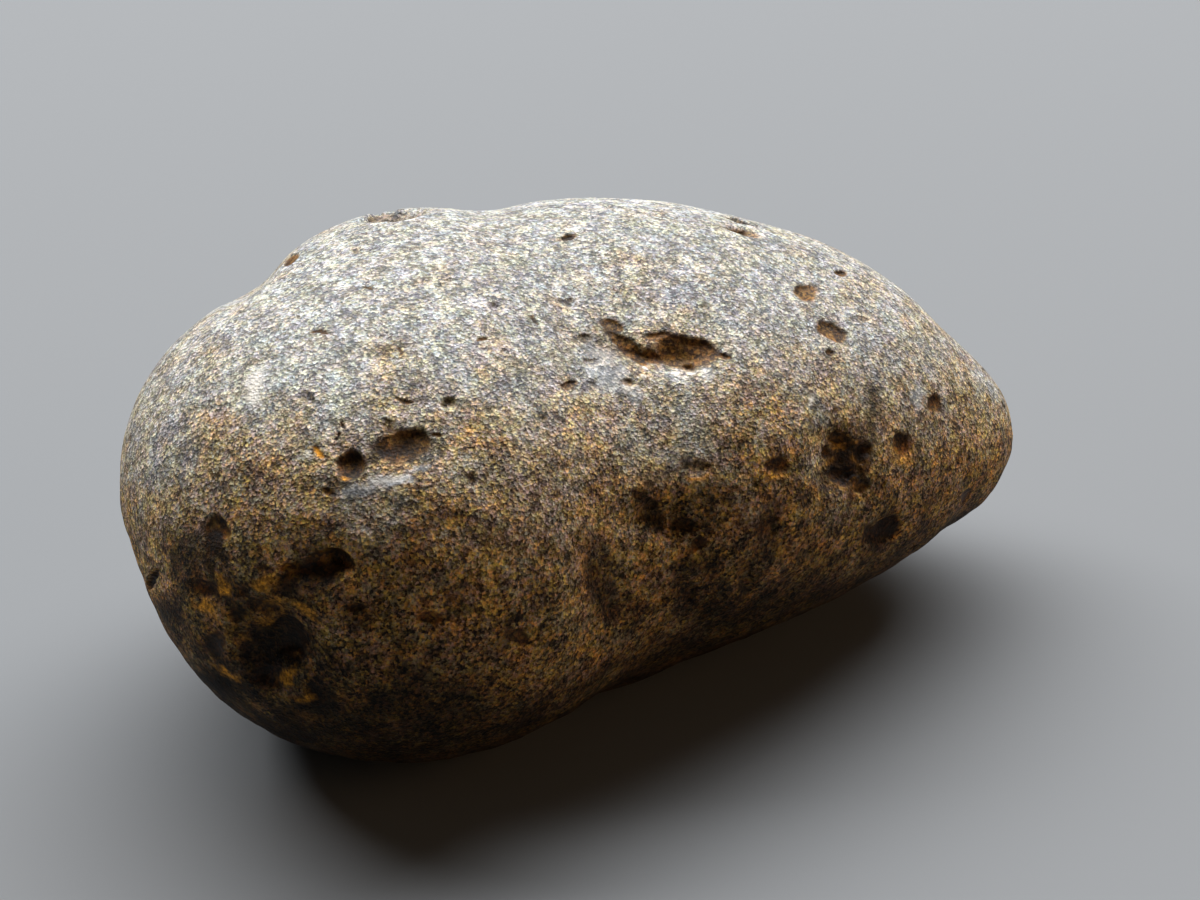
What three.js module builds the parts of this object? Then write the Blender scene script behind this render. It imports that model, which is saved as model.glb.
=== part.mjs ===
// Tektite: a stream-worn pebble of natural impact glass, formed and worn as one piece.
// Millimetres, +Z up. The stone lies on its worn flat with its long axis along X,
// the blunt heel at -X and the narrow nose at +X. The origin is on the resting plane,
// under the middle of the stone's box.

import * as THREE from "three";
import { mergeVertices } from "three/addons/utils/BufferGeometryUtils.js";

// ---- Driving dimensions, mm -------------------------------------------------

const LENGTH = 39.2;
const WIDTH = 24.8;
const HEIGHT = 18.6;

// Height over which the flanks round into the worn flat on the underside.
const FLAT_ROUNDING = 0.6;

// Height above the resting plane of the point that all bearings are taken from.
const CORE_HEIGHT = 8.4;

// How tightly the lobes run into each other: higher gives sharper valleys.
const LOBE_BLEND = 3.5;

// Steps along each edge of the starting icosahedron. The faces come to about 0.8 mm.
const SKIN_STEPS = 19;

// ---- The form ---------------------------------------------------------------

// The melt froze as a few swellings that run into each other.
const LOBES = [
  { name: "heel", centre: [-9.2, -1.2, 11.3], radii: [9.7, 9.5, 6.7] },
  { name: "belly", centre: [-8.6, -2.9, 7.5], radii: [10.2, 9.3, 7.8] },
  { name: "shoulder", centre: [-6.3, 2.2, 12.5], radii: [5.8, 9.4, 5.4] },
  { name: "back", centre: [-1.7, 3.0, 8.9], radii: [15.4, 9.2, 9.0] },
  { name: "flank", centre: [2.5, 0.1, 9.6], radii: [7.5, 9.9, 7.2] },
  { name: "keel", centre: [0.5, -0.9, 5.6], radii: [7.8, 6.9, 6.4] },
  { name: "neck", centre: [6.8, 0.8, 7.9], radii: [10.5, 9.2, 7.4] },
  { name: "nose", centre: [13.0, -0.3, 6.6], radii: [6.4, 5.1, 4.0] },
];

// Dishes and pits in the skin.
// The bearing, in degrees, is the azimuth from +X towards +Y and the elevation, both
// seen from the core. The heading, in degrees, turns the long side from the X
// direction, anticlockwise as seen from outside. Sizes are in mm.
const HOLLOWS = [
  // broad dishes and swellings left by the flow of the melt
  { name: "nape", bearing: [153, 29], heading: 65, length: 10, width: 3.4, depth: 0.6 },
  { name: "saddle", bearing: [104, 52], heading: 80, length: 9, width: 4.4, depth: 0.2 },
  { name: "waist", bearing: [-108, 5], heading: 80, length: 12, width: 4, depth: 0.45 },
  { name: "snout", bearing: [-19, -12], heading: 60, length: 6, width: 3, depth: 0.3 },
  { name: "thumbprint", bearing: [62, 12], heading: 12, length: 13, width: 8, depth: 0.8 },
  { name: "rear_waist", bearing: [117, 0], heading: 78, length: 13, width: 6, depth: 0.6 },
  { name: "heel_dish", bearing: [172, -14], heading: 40, length: 10, width: 7, depth: 0.5 },
  { name: "jowl", bearing: [178, -9], heading: 75, length: 10, width: 7.5, depth: 1.1 },
  { name: "under_dish", bearing: [-64, -46], heading: 20, length: 9, width: 6, depth: 0.4 },

  // gas pits that are large enough to shape the solid
  { name: "main_pit_left", bearing: [-99.5, 59], heading: -20, length: 3.2, width: 1.9, depth: 0.3 },
  { name: "main_pit_right", bearing: [-75.5, 51.5], heading: -8, length: 3.7, width: 2.1, depth: 0.4 },
  { name: "oval_pit", bearing: [-140.5, 28], heading: 0, length: 3.2, width: 1.8, depth: 0.3 },
  { name: "cheek_hollow", bearing: [-150, 2], heading: 65, length: 5.6, width: 4.2, depth: 0.8 },
  { name: "cheek_slot", bearing: [-145, 12.5], heading: -4, length: 3.6, width: 1.7, depth: 0.5 },
  { name: "flank_trough", bearing: [-94, 15.5], heading: -17, length: 4.6, width: 2.2, depth: 0.5 },
  { name: "flank_cluster", bearing: [-49.5, 15], heading: 70, length: 4.0, width: 3.2, depth: 0.6 },
  { name: "snout_pit", bearing: [-41, -4.5], heading: -20, length: 2.6, width: 1.8, depth: 0.4 },
  { name: "rear_pit", bearing: [84, 20], heading: 25, length: 3.8, width: 2.2, depth: 0.7 },
  { name: "rear_heel_pit", bearing: [141, 8], heading: -30, length: 3.4, width: 2.2, depth: 0.6 },
];

const CORE = new THREE.Vector3(0, 0, CORE_HEIGHT);
const ALONG = new THREE.Vector3(1, 0, 0);

// Negative inside the stone, zero on its skin and positive outside.
function formField(point) {
  let nearness = 0;
  for (const { centre, radii } of LOBES) {
    const x = (point.x - centre[0]) / radii[0];
    const y = (point.y - centre[1]) / radii[1];
    const z = (point.z - centre[2]) / radii[2];
    nearness += Math.exp(-LOBE_BLEND * (x * x + y * y + z * z - 1));
  }
  return -Math.log(nearness) / LOBE_BLEND;
}

// The point where a ray from the core leaves the form, found by halving the interval.
function skinPoint(direction) {
  const halvings = 40;
  let inside = 0;
  let outside = LENGTH;
  const point = new THREE.Vector3();
  for (let i = 0; i < halvings; i++) {
    const reach = (inside + outside) / 2;
    point.copy(CORE).addScaledVector(direction, reach);
    if (formField(point) > 0) outside = reach;
    else inside = reach;
  }
  return point;
}

// The outward direction of the form's skin at a point.
function skinNormal(point) {
  const step = 0.01;
  const slope = (axis) => {
    const ahead = point.clone();
    const behind = point.clone();
    ahead[axis] += step;
    behind[axis] -= step;
    return formField(ahead) - formField(behind);
  };
  return new THREE.Vector3(slope("x"), slope("y"), slope("z")).normalize();
}

// Where a hollow lies, and the directions of its long side, short side and depth.
function hollowFrame({ bearing, heading, ...sizes }) {
  const [azimuth, elevation] = bearing.map(THREE.MathUtils.degToRad);
  const direction = new THREE.Vector3(
    Math.cos(elevation) * Math.cos(azimuth),
    Math.cos(elevation) * Math.sin(azimuth),
    Math.sin(elevation),
  );
  const middle = skinPoint(direction);
  const outward = skinNormal(middle);
  const long = ALONG.clone().addScaledVector(outward, -ALONG.dot(outward)).normalize();
  long.applyAxisAngle(outward, THREE.MathUtils.degToRad(heading));
  const short = outward.clone().cross(long);
  return { middle, outward, long, short, ...sizes };
}

// How far a hollow presses in at a point: a rounded bowl that ends at its rim.
function pressAt(hollow, point) {
  const offset = point.clone().sub(hollow.middle);
  const along = offset.dot(hollow.long) / (hollow.length / 2);
  const across = offset.dot(hollow.short) / (hollow.width / 2);
  const below = offset.dot(hollow.outward) / (hollow.length / 2);
  const spread = along * along + across * across + below * below;
  return spread < 1 ? hollow.depth * (1 - spread) ** 2 : 0;
}

// Wears the underside down to a true flat at z = 0, with a rounded edge.
function wornHeight(z) {
  if (z <= -FLAT_ROUNDING) return 0;
  if (z >= FLAT_ROUNDING) return z;
  return (z + FLAT_ROUNDING) ** 2 / (4 * FLAT_ROUNDING);
}

// ---- The solid --------------------------------------------------------------

function stoneGeometry() {
  const ball = new THREE.IcosahedronGeometry(1, SKIN_STEPS);
  ball.deleteAttribute("normal");
  ball.deleteAttribute("uv");
  const skin = mergeVertices(ball);
  const hollows = HOLLOWS.map(hollowFrame);
  const position = skin.getAttribute("position");
  const direction = new THREE.Vector3();
  const proportions = new THREE.Vector3(LENGTH, WIDTH, HEIGHT);

  for (let i = 0; i < position.count; i++) {
    direction.fromBufferAttribute(position, i).multiply(proportions).normalize();
    const bare = skinPoint(direction);
    const point = bare.clone();
    for (const hollow of hollows) {
      point.addScaledVector(hollow.outward, -pressAt(hollow, bare));
    }
    position.setXYZ(i, point.x, point.y, wornHeight(point.z));
  }

  // Centre the stone over the origin and bring it to its driving dimensions.
  skin.computeBoundingBox();
  const size = skin.boundingBox.getSize(new THREE.Vector3());
  const middle = skin.boundingBox.getCenter(new THREE.Vector3());
  skin.translate(-middle.x, -middle.y, -skin.boundingBox.min.z);
  skin.scale(LENGTH / size.x, WIDTH / size.y, HEIGHT / size.z);
  skin.computeVertexNormals();
  return skin;
}

// Frosted natural glass: grey-brown, matt on the worn skin.
const frostedGlass = new THREE.MeshStandardMaterial({
  color: "#6b6258",
  roughness: 0.7,
  metalness: 0,
});

const stone = new THREE.Mesh(stoneGeometry(), frostedGlass);
stone.name = "tektite_stone";

const tektite = new THREE.Group();
tektite.name = "tektite";
tektite.add(stone);

export default tektite;
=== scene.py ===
"""Tektite: a stream-worn pebble of natural impact glass, lying on a pale studio floor.

The stone's skin is built from the CAD solid in the frame: its facets are smoothed, the skin
is made finer where gas pits lie, and the pits, percussion marks and frosting are pressed
into it. Lengths are in millimetres while the skin is worked, and in metres in the scene.
"""

import logging
import math
from dataclasses import dataclass, field
from enum import Enum
from typing import ClassVar

import bpy
import numpy as np
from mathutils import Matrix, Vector, noise
from mathutils.bvhtree import BVHTree
from mathutils.kdtree import KDTree


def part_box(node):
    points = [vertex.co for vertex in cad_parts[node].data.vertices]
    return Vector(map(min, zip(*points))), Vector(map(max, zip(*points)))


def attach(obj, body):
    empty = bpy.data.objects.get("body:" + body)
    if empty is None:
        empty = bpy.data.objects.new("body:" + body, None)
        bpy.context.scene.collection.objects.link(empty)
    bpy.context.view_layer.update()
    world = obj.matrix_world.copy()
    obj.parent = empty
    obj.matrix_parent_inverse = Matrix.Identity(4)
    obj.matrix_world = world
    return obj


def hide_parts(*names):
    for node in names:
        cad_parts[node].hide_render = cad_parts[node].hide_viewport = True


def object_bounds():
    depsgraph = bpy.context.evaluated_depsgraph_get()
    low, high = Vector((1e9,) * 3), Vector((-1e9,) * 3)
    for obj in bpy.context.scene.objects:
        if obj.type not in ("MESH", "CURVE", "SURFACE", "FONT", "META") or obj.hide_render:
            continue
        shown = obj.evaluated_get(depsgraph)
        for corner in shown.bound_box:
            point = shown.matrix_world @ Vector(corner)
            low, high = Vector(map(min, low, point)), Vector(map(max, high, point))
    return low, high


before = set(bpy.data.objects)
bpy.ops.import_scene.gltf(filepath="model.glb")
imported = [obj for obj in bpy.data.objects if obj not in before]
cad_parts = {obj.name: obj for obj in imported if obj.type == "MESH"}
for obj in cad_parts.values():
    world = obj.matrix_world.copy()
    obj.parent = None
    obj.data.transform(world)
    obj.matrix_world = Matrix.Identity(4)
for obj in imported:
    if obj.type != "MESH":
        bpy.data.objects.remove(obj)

LOG = logging.getLogger("tektite")
NODE = "tektite_stone"
MM = 0.001  # metres
TINY = 1e-12  # keeps a division away from zero
Socket = bpy.types.NodeSocket


def linear(hex_colour: str) -> tuple[float, float, float, float]:
    """Turns an sRGB hex colour into linear RGBA.

    Args:
        hex_colour: The colour as "#rrggbb".

    Returns:
        Red, green, blue and alpha, from 0 to 1.
    """
    knee, foot, toe, gain, power = 0.04045, 12.92, 0.055, 1.055, 2.4
    channels = [int(hex_colour[i : i + 2], 16) / 255 for i in (1, 3, 5)]
    lit = [c / foot if c <= knee else ((c + toe) / gain) ** power for c in channels]
    return (*lit, 1.0)


def smooth_step(low: float, high: float, value: np.ndarray) -> np.ndarray:
    """Rises smoothly from 0, where the value is low, to 1, where it is high."""
    share = np.clip((value - low) / (high - low), 0, 1)
    return share * share * (3 - 2 * share)


def unit(vectors: np.ndarray) -> np.ndarray:
    """Scales each vector to length 1."""
    return vectors / np.linalg.norm(vectors, axis=-1, keepdims=True)


def bearing_direction(azimuth: float, elevation: float) -> np.ndarray:
    """The direction of a bearing.

    Args:
        azimuth: Degrees from +X towards +Y.
        elevation: Degrees above the horizontal.

    Returns:
        A vector of length 1.
    """
    around, above = math.radians(azimuth), math.radians(elevation)
    flat = math.cos(above)
    return np.array([flat * math.cos(around), flat * math.sin(around), math.sin(above)])


def lumps(points: np.ndarray, size: float, seed: float) -> np.ndarray:
    """Smooth noise, about -1 to 1, with lumps of a size in mm. The seed moves its pattern."""
    return np.array([noise.noise(Vector(p)) for p in points / size + seed])


def layered(points: np.ndarray, *layers: tuple[float, float, float]) -> np.ndarray:
    """Adds up layers of smooth noise, each an amount, a lump size in mm and a seed."""
    return sum(amount * lumps(points, size, seed) for amount, size, seed in layers)


def shaken(
    points: np.ndarray,
    x: np.ndarray,
    y: np.ndarray,
    width: float,
    *layers: tuple[float, float, float],
) -> tuple[np.ndarray, np.ndarray]:
    """Moves places on a plane a little, so that an outline drawn there is uneven.

    Args:
        points: The points on the skin, in mm.
        x: Their places along the plane, in mm.
        y: Their places across the plane, in mm.
        width: The width of what is drawn, in mm.
        layers: For each layer of noise its amount and lump size, as shares of the width,
            and its seed.

    Returns:
        The moved places along and across the plane.
    """
    seed_across = 6
    for amount, lump, seed in layers:
        x = x + amount * width * lumps(points, lump * width, seed)
        y = y + amount * width * lumps(points, lump * width, seed + seed_across)
    return x, y


def quarters(corners: np.ndarray, middles: np.ndarray) -> np.ndarray:
    """Cuts triangles in four, given the numbers of their corners and edge middles."""
    (a, b, c), (ab, bc, ca) = corners.T, middles.T
    parts = ((a, ab, ca), (ab, b, bc), (ca, bc, c), (ab, bc, ca))
    return np.concatenate([np.stack(part, axis=1) for part in parts])


def in_scene(name: str, data: bpy.types.ID) -> bpy.types.Object:
    """Makes an object of a mesh, light or camera and links it to the scene."""
    made = bpy.data.objects.new(name, data)
    bpy.context.scene.collection.objects.link(made)
    return made


# ---- Skin: a triangle mesh worked in millimetres -------------------------------------


@dataclass
class Skin:
    """A closed triangle mesh.

    Attributes:
        points: One row for each vertex, in mm.
        faces: Three vertex numbers for each triangle.
    """

    points: np.ndarray
    faces: np.ndarray

    @classmethod
    def from_node(cls, node: bpy.types.Object) -> "Skin":
        """Reads a CAD node's mesh and welds the corners that its facets share.

        Args:
            node: The CAD node.

        Returns:
            The node's closed skin, in mm.
        """
        mesh = node.data
        mesh.calc_loop_triangles()
        corners = np.empty(len(mesh.vertices) * 3, np.float32)
        mesh.vertices.foreach_get("co", corners)
        triangles = np.empty(len(mesh.loop_triangles) * 3, np.int32)
        mesh.loop_triangles.foreach_get("vertices", triangles)
        weld_decimals = 3
        rounded = np.round(corners.reshape(-1, 3).astype(float) / MM, weld_decimals)
        points, shared = np.unique(rounded, axis=0, return_inverse=True)
        faces = shared.reshape(-1)[triangles].reshape(-1, 3)
        # Triangles that the weld has closed up are left out.
        whole = (np.diff(np.sort(faces, axis=1), axis=1) > 0).all(axis=1)
        return cls(points, faces[whole])

    def edges(self) -> tuple[np.ndarray, np.ndarray]:
        """Lists the edges.

        Returns:
            The two vertices of each edge, and for each triangle its three edges, where
            edge k runs from corner k to the next.
        """
        sides = np.stack([self.faces, np.roll(self.faces, -1, axis=1)], axis=2)
        ends, numbers = np.unique(
            np.sort(sides.reshape(-1, 2), axis=1), axis=0, return_inverse=True
        )
        return ends, numbers.reshape(-1, 3)

    def normals(self) -> np.ndarray:
        """The outward direction at each vertex, weighted by triangle area."""
        a, b, c = (self.points[self.faces[:, k]] for k in range(3))
        facing = np.cross(b - a, c - a)
        total = np.zeros_like(self.points)
        for k in range(3):
            np.add.at(total, self.faces[:, k], facing)
        return unit(total)

    def rounded(self) -> "Skin":
        """Splits each triangle in four and smooths the result, by Loop's rule.

        Returns:
            The finer, smoother skin.
        """
        end_share, far_share, swing, most = 0.375, 0.125, 0.25, 0.625
        ends, numbers = self.edges()
        count = len(self.points)
        opposite = np.zeros((len(ends), 3))
        for k in range(3):
            np.add.at(opposite, numbers[:, k], self.points[self.faces[:, (k + 2) % 3]])
        middles = end_share * self.points[ends].sum(axis=1) + far_share * opposite

        neighbours = np.zeros(count)
        around = np.zeros((count, 3))
        for here, there in ((0, 1), (1, 0)):
            np.add.at(neighbours, ends[:, here], 1)
            np.add.at(around, ends[:, here], self.points[ends[:, there]])
        reach = (end_share + swing * np.cos(2 * np.pi / neighbours)) ** 2
        share = ((most - reach) / neighbours)[:, None]
        kept = (1 - share * neighbours[:, None]) * self.points + share * around
        faces = quarters(self.faces, numbers + count)
        return Skin(np.concatenate([kept, middles]), faces)

    def refined(self, wanted: np.ndarray) -> "Skin":
        """Splits the wanted triangles in four, and their neighbours as they need.

        Args:
            wanted: For each triangle, whether to split it.

        Returns:
            The finer skin, with the same shape.
        """
        ends, numbers = self.edges()
        split = np.zeros(len(ends), bool)
        split[numbers[wanted].ravel()] = True
        # A triangle can be cut in two or in four, so one with two split edges gets a third.
        while True:
            cut = split[numbers].sum(axis=1)
            if not (cut == 2).any():
                break
            split[numbers[cut == 2].ravel()] = True
        middle = np.full(len(ends), -1)
        middle[split] = len(self.points) + np.arange(split.sum())
        points = np.concatenate([self.points, self.points[ends[split]].mean(axis=1)])

        whole, every = cut == 0, cut == 3
        parts = [self.faces[whole], quarters(self.faces[every], middle[numbers[every]])]
        for k in range(3):
            one = (cut == 1) & split[numbers[:, k]]
            start, end, far = (self.faces[one, (k + j) % 3] for j in range(3))
            half = middle[numbers[one, k]]
            parts.append(np.stack([start, half, far], axis=1))
            parts.append(np.stack([half, end, far], axis=1))
        return Skin(points, np.concatenate(parts))

    def edge_lengths(self) -> np.ndarray:
        """The longest edge of each triangle, in mm."""
        corners = self.points[self.faces]
        return np.linalg.norm(corners - np.roll(corners, -1, axis=1), axis=2).max(axis=1)


# ---- Marks in the skin ---------------------------------------------------------------


class Rim(Enum):
    """How worn a scoop's edge is. The value is the power of its depth curve."""

    CLIFF = 0.55
    CRISP = 0.9
    EASED = 1.5
    WORN = 2.2


@dataclass(frozen=True)
class Scoop:
    """One rounded scoop of a pit, in the pit's own plane. Lengths are in mm.

    Attributes:
        size: Full length and width.
        depth: How far it presses in. Less than 0 raises a bead instead, with a painted
        highlight on it.
        at: Middle of the scoop, along and across the pit from the pit's middle.
        turn: Degrees that its long side turns from the pit's.
        apex: Where the deepest point lies, as shares of the half length and half width.
            The edge is sharpest on that side and wears away to nothing on the other.
        rim: How worn the sharpest edge is.
        glass: How bare and smooth its glass is, from 0 to 1.
        dark: How strongly painted shade darkens the glass under the sharpest edge, from 0 to 1.
        bend: How far its ends curve to one side, as a share of its half length.
    """

    size: tuple[float, float]
    depth: float
    at: tuple[float, float] = (0.0, 0.0)
    turn: float = 0.0
    apex: tuple[float, float] = (0.0, 0.0)
    rim: Rim = Rim.CRISP
    glass: float = 0.95
    dark: float = 0.6
    bend: float = 0.0

    def share(self, x: np.ndarray, y: np.ndarray) -> tuple[np.ndarray, np.ndarray]:
        """How far points lie from the scoop's deepest point towards its rim.

        Args:
            x: Places along the pit, in mm.
            y: Places across the pit, in mm.

        Returns:
            The share, 0 at the deepest point and 1 at the rim, and how far each point
            lies on the worn side, from 0 to 1.
        """
        turn = math.radians(self.turn)
        dx, dy = x - self.at[0], y - self.at[1]
        u = (dx * math.cos(turn) + dy * math.sin(turn)) * 2 / self.size[0]
        across = dy * math.cos(turn) - dx * math.sin(turn)
        v = (across + self.bend * u * u * self.size[0] / 2) * 2 / self.size[1]
        du, dv = u - self.apex[0], v - self.apex[1]
        square = np.maximum(du * du + dv * dv, TINY)
        towards = self.apex[0] * du + self.apex[1] * dv
        offset = math.hypot(*self.apex)
        rim = (-towards + np.sqrt(towards * towards + square * (1 - offset**2))) / square
        if not offset:
            return 1 / rim, np.zeros(len(x))
        sharp_side = (self.apex[0] * u + self.apex[1] * v) / offset
        return 1 / rim, np.clip((1 - sharp_side) / 2, 0, 1)

    def fall(self, share: np.ndarray, worn: np.ndarray) -> np.ndarray:
        """The depth at each point, as a share of the deepest.

        Args:
            share: How far each point lies towards the rim.
            worn: How far each point lies on the worn side.

        Returns:
            The depth, from 0 outside the rim to 1.
        """
        wall_power, worn_power = 2.4, 3.0
        power = self.rim.value + worn_power * math.hypot(*self.apex) * worn
        return np.clip(1 - share**wall_power, 0, 1) ** power


@dataclass(frozen=True)
class Pit:
    """A gas pit or worn hollow: scoops that share a place on the skin.

    Attributes:
        name: What the pit is called.
        bearing: Azimuth and elevation from the core, in degrees.
        heading: Degrees that the pit's length turns from the X direction.
        scoops: The scoops, in the pit's plane.
        lean: Degrees that it leans from straight in, across its length.
        ragged: How uneven its outline is, as a share of its smallest scoop.
        glint: Strength of the painted amber glint, as of light through thin glass, in the
        lip on the worn side.
        detail: How finely the skin is split there, where 1 is the finest.
    """

    name: str
    bearing: tuple[float, float]
    heading: float
    scoops: tuple[Scoop, ...]
    lean: float = 0.0
    ragged: float = 0.12
    glint: float = 0.0
    detail: float = 1.0

    def reach(self) -> float:
        """How far the furthest rim lies from the pit's middle, in mm."""
        return max(math.hypot(*s.at) + max(s.size) / 2 for s in self.scoops)

    def fineness(self) -> float:
        """The edge length that shows the pit's smallest scoop, in mm."""
        edges_across, finest = 12, 0.06
        smallest = min(min(scoop.size) for scoop in self.scoops)
        return max(smallest / edges_across, finest) / self.detail


@dataclass(frozen=True)
class Patch:
    """A patch of a finish or painted light or shade on the skin, with no depth of its own.

    Attributes:
        bearing: Azimuth and elevation from the core, in degrees.
        size: Full length and width, in mm.
        heading: Degrees that its length turns from the X direction.
        strength: How strong the finish is, from 0 to 1.
    """

    bearing: tuple[float, float]
    size: tuple[float, float]
    heading: float = 0.0
    strength: float = 1.0


@dataclass(frozen=True)
class Etching:
    """An area that the soil's water has etched into small uneven hollows.

    Attributes:
        patch: Its place, size and strength.
        grain: The width of a hollow, in mm.
        depth: How deep the hollows are, in mm.
        amber_glint_share: How strong the painted amber glint, as of light through thin glass,
        is on the lips between the hollows, from 0 to 1.
    """

    patch: Patch
    grain: float
    depth: float
    amber_glint_share: float = 0.0


class Finish(Enum):
    """Finishes and painted light and shade on the skin. The value is the mesh attribute's name."""

    GLASS = "bare_glass"
    # Painted shade in pits, hollows and creases, and the dark glass of thinly frosted spots.
    SHADE_AND_DARK_GLASS = "deep_glass"
    # Water-polished lips; their pale bluish colour is partly a painted sky reflection.
    POLISH_AND_REFLECTION = "water_polish"
    # Painted amber glints, as of light shining through thin glass.
    AMBER_GLINT = "amber_glow"
    # Chalk marks, and the painted highlights on raised beads.
    CHALK_AND_HIGHLIGHT = "chalk"
    # Frosting, and painted light from above and painted shade low down.
    FROST_AND_LIGHT = "frost"


@dataclass
class Plane:
    """The plane that touches the skin at a bearing, with directions along and across."""

    middle: np.ndarray
    along: np.ndarray
    across: np.ndarray
    outward: np.ndarray

    def flat(self, points: np.ndarray) -> tuple[np.ndarray, np.ndarray, np.ndarray]:
        """The places of points along, across and above the plane, in mm."""
        offset = points - self.middle
        return offset @ self.along, offset @ self.across, offset @ self.outward

    def inward(self, lean: float) -> np.ndarray:
        """The direction into the stone that leans across the plane by some degrees."""
        tilt = math.radians(lean)
        return math.sin(tilt) * self.across - math.cos(tilt) * self.outward


# ---- The stone -----------------------------------------------------------------------


@dataclass
class Stone:
    """The stone's own shape: its skin, the marks in it and the finishes on it.

    Attributes:
        node: The CAD node that the skin is built from.
        core_share: Height of the core, that bearings are taken from, as a share.
        pits: The pits and hollows that have a place of their own.
        patches: The patches of each finish.
        etchings: The areas with small uneven hollows.
        lee_and_shade_azimuth: The side that the sand reached least, which faces away from the
        key lamp and is kept darker as painted shade, in degrees from +X towards +Y.
        windward_azimuth: The side that the sand wore most.
        rear_azimuth: The rear, which the sand frosted more evenly.
        rear_frost: How much more frosted the rear is.
        scar_count: How many small percussion scars are scattered on the skin.
        rear_pit_count: How many worn pits lie on the rear.
        stain_mm: The width of the dark spots in thinly frosted skin.
        stain_strength: How dark they are, from 0 to 1.
        wear_mm: How much the sand wore off all over, on average.
        roughest: How much rougher the skin is where it has no frosting.
        seed: Fixes where the scattered scars lie.
        core: The point that bearings are taken from, in mm.
        form: The CAD solid's own skin.
        bare: The form, smoothed twice, with no marks in it.
        bare_normals: The outward direction at each vertex of the bare skin.
        tree: Finds places on the bare skin.
        skin: The skin that is worked.
        paint: The strength of each finish, and of the painted light and shade, at each vertex.
    """

    # Layers of noise, each an amount, a lump size in mm and a seed: the skin's broad
    # unevenness in mm, its chipping in mm, and the drift of the frosting.
    SWELLS: ClassVar[tuple] = ((0.1, 5.0, 3.0),)
    CHIPPING: ClassVar[tuple] = ((0.05, 1.6, 11.0), (0.022, 0.55, 17.0))
    DRIFTS: ClassVar[tuple] = ((0.14, 7.0, 31.0), (0.24, 2.2, 57.0), (0.22, 0.9, 61.0))

    node: bpy.types.Object
    pits: tuple[Pit, ...]
    patches: dict[Finish, tuple[Patch, ...]]
    etchings: tuple[Etching, ...]
    core_share: float = 0.4516
    lee_and_shade_azimuth: float = -112.0
    windward_azimuth: float = 170.0
    rear_azimuth: float = 75.0
    rear_frost: float = 0.42
    scar_count: int = 190
    rear_pit_count: int = 42
    stain_mm: float = 1.5
    stain_strength: float = 0.5
    wear_mm: float = 0.08
    roughest: float = 1.6
    seed: int = 7
    core: np.ndarray = field(init=False)
    form: Skin = field(init=False)
    bare: Skin = field(init=False)
    bare_normals: np.ndarray = field(init=False)
    tree: BVHTree = field(init=False)
    skin: Skin = field(init=False)
    paint: dict[Finish, np.ndarray] = field(init=False)

    def __post_init__(self) -> None:
        """Smooths the CAD solid's facets and finds the core."""
        low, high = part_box(self.node.name)
        middle = (low + high) / 2
        height = low.z + (high.z - low.z) * self.core_share
        self.core = np.array([middle.x, middle.y, height]) / MM
        self.form = Skin.from_node(self.node)
        self.skin = self.form.rounded()
        self.bare = self.skin.rounded()
        self.bare_normals = self.bare.normals()
        self.tree = BVHTree.FromPolygons(self.bare.points.tolist(), self.bare.faces.tolist())

    def plane(self, bearing: tuple[float, float], heading: float, span: float) -> Plane:
        """The plane that touches the skin at a bearing.

        Args:
            bearing: Azimuth and elevation from the core, in degrees.
            heading: Degrees that the plane's length turns from the X direction.
            span: The width of skin that the plane's tilt is averaged over, in mm.

        Returns:
            The plane.
        """
        direction = bearing_direction(*bearing)
        place, _, _, _ = self.tree.ray_cast(Vector(self.core), Vector(direction))
        middle = np.array(place)
        near = np.linalg.norm(self.bare.points - middle, axis=1) < span
        outward = unit(self.bare_normals[near].sum(axis=0))
        along = np.array([1.0, 0.0, 0.0])
        along = unit(along - along @ outward * outward)
        turn = math.radians(heading)
        across = np.cross(outward, along)
        return Plane(
            middle,
            math.cos(turn) * along + math.sin(turn) * across,
            math.cos(turn) * across - math.sin(turn) * along,
            outward,
        )

    def broad_normals(self) -> np.ndarray:
        """The outward direction of the form, evened out over its pits and hollows.

        Returns:
            One direction for each vertex of the skin.
        """
        evening_rounds, neighbours, softening = 4, 5, 0.05
        outward = self.form.normals()
        ends, _ = self.form.edges()
        for _ in range(evening_rounds):
            total = outward.copy()
            np.add.at(total, ends[:, 0], outward[ends[:, 1]])
            np.add.at(total, ends[:, 1], outward[ends[:, 0]])
            outward = unit(total)
        tree = KDTree(len(outward))
        for number, point in enumerate(self.form.points):
            tree.insert(point, number)
        tree.balance()
        found = [tree.find_n(point, neighbours) for point in self.skin.points]
        numbers = np.array([[near[1] for near in places] for places in found])
        distances = np.array([[near[2] for near in places] for places in found])
        nearness = 1 / (distances + softening)
        return unit((outward[numbers] * nearness[:, :, None]).sum(axis=1))

    def scattered_scars(self) -> list[Pit]:
        """Small shallow scars where the stone knocked against others in the stream.

        Returns:
            The scars, spread evenly over the whole skin.
        """
        draw = np.random.default_rng(self.seed).uniform
        scars = []
        for number in range(self.scar_count):
            elevation = math.degrees(math.asin(draw(-0.95, 0.95)))
            azimuth = draw(-180, 180)
            length = draw(0.35, 0.9) * draw(0.7, 1.3)
            width = length * draw(0.35, 0.8)
            scoop = Scoop(
                size=(length, width),
                depth=width * draw(0.12, 0.3),
                apex=(draw(-0.4, 0.4), draw(-0.5, 0.5)),
                rim=Rim.EASED,
                glass=draw(0.0, 0.6) ** 2,
            )
            place = (f"scar_{number}", (azimuth, elevation), draw(-90, 90))
            scars.append(Pit(*place, (scoop,), ragged=0.2, detail=0.6))
        return scars

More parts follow.
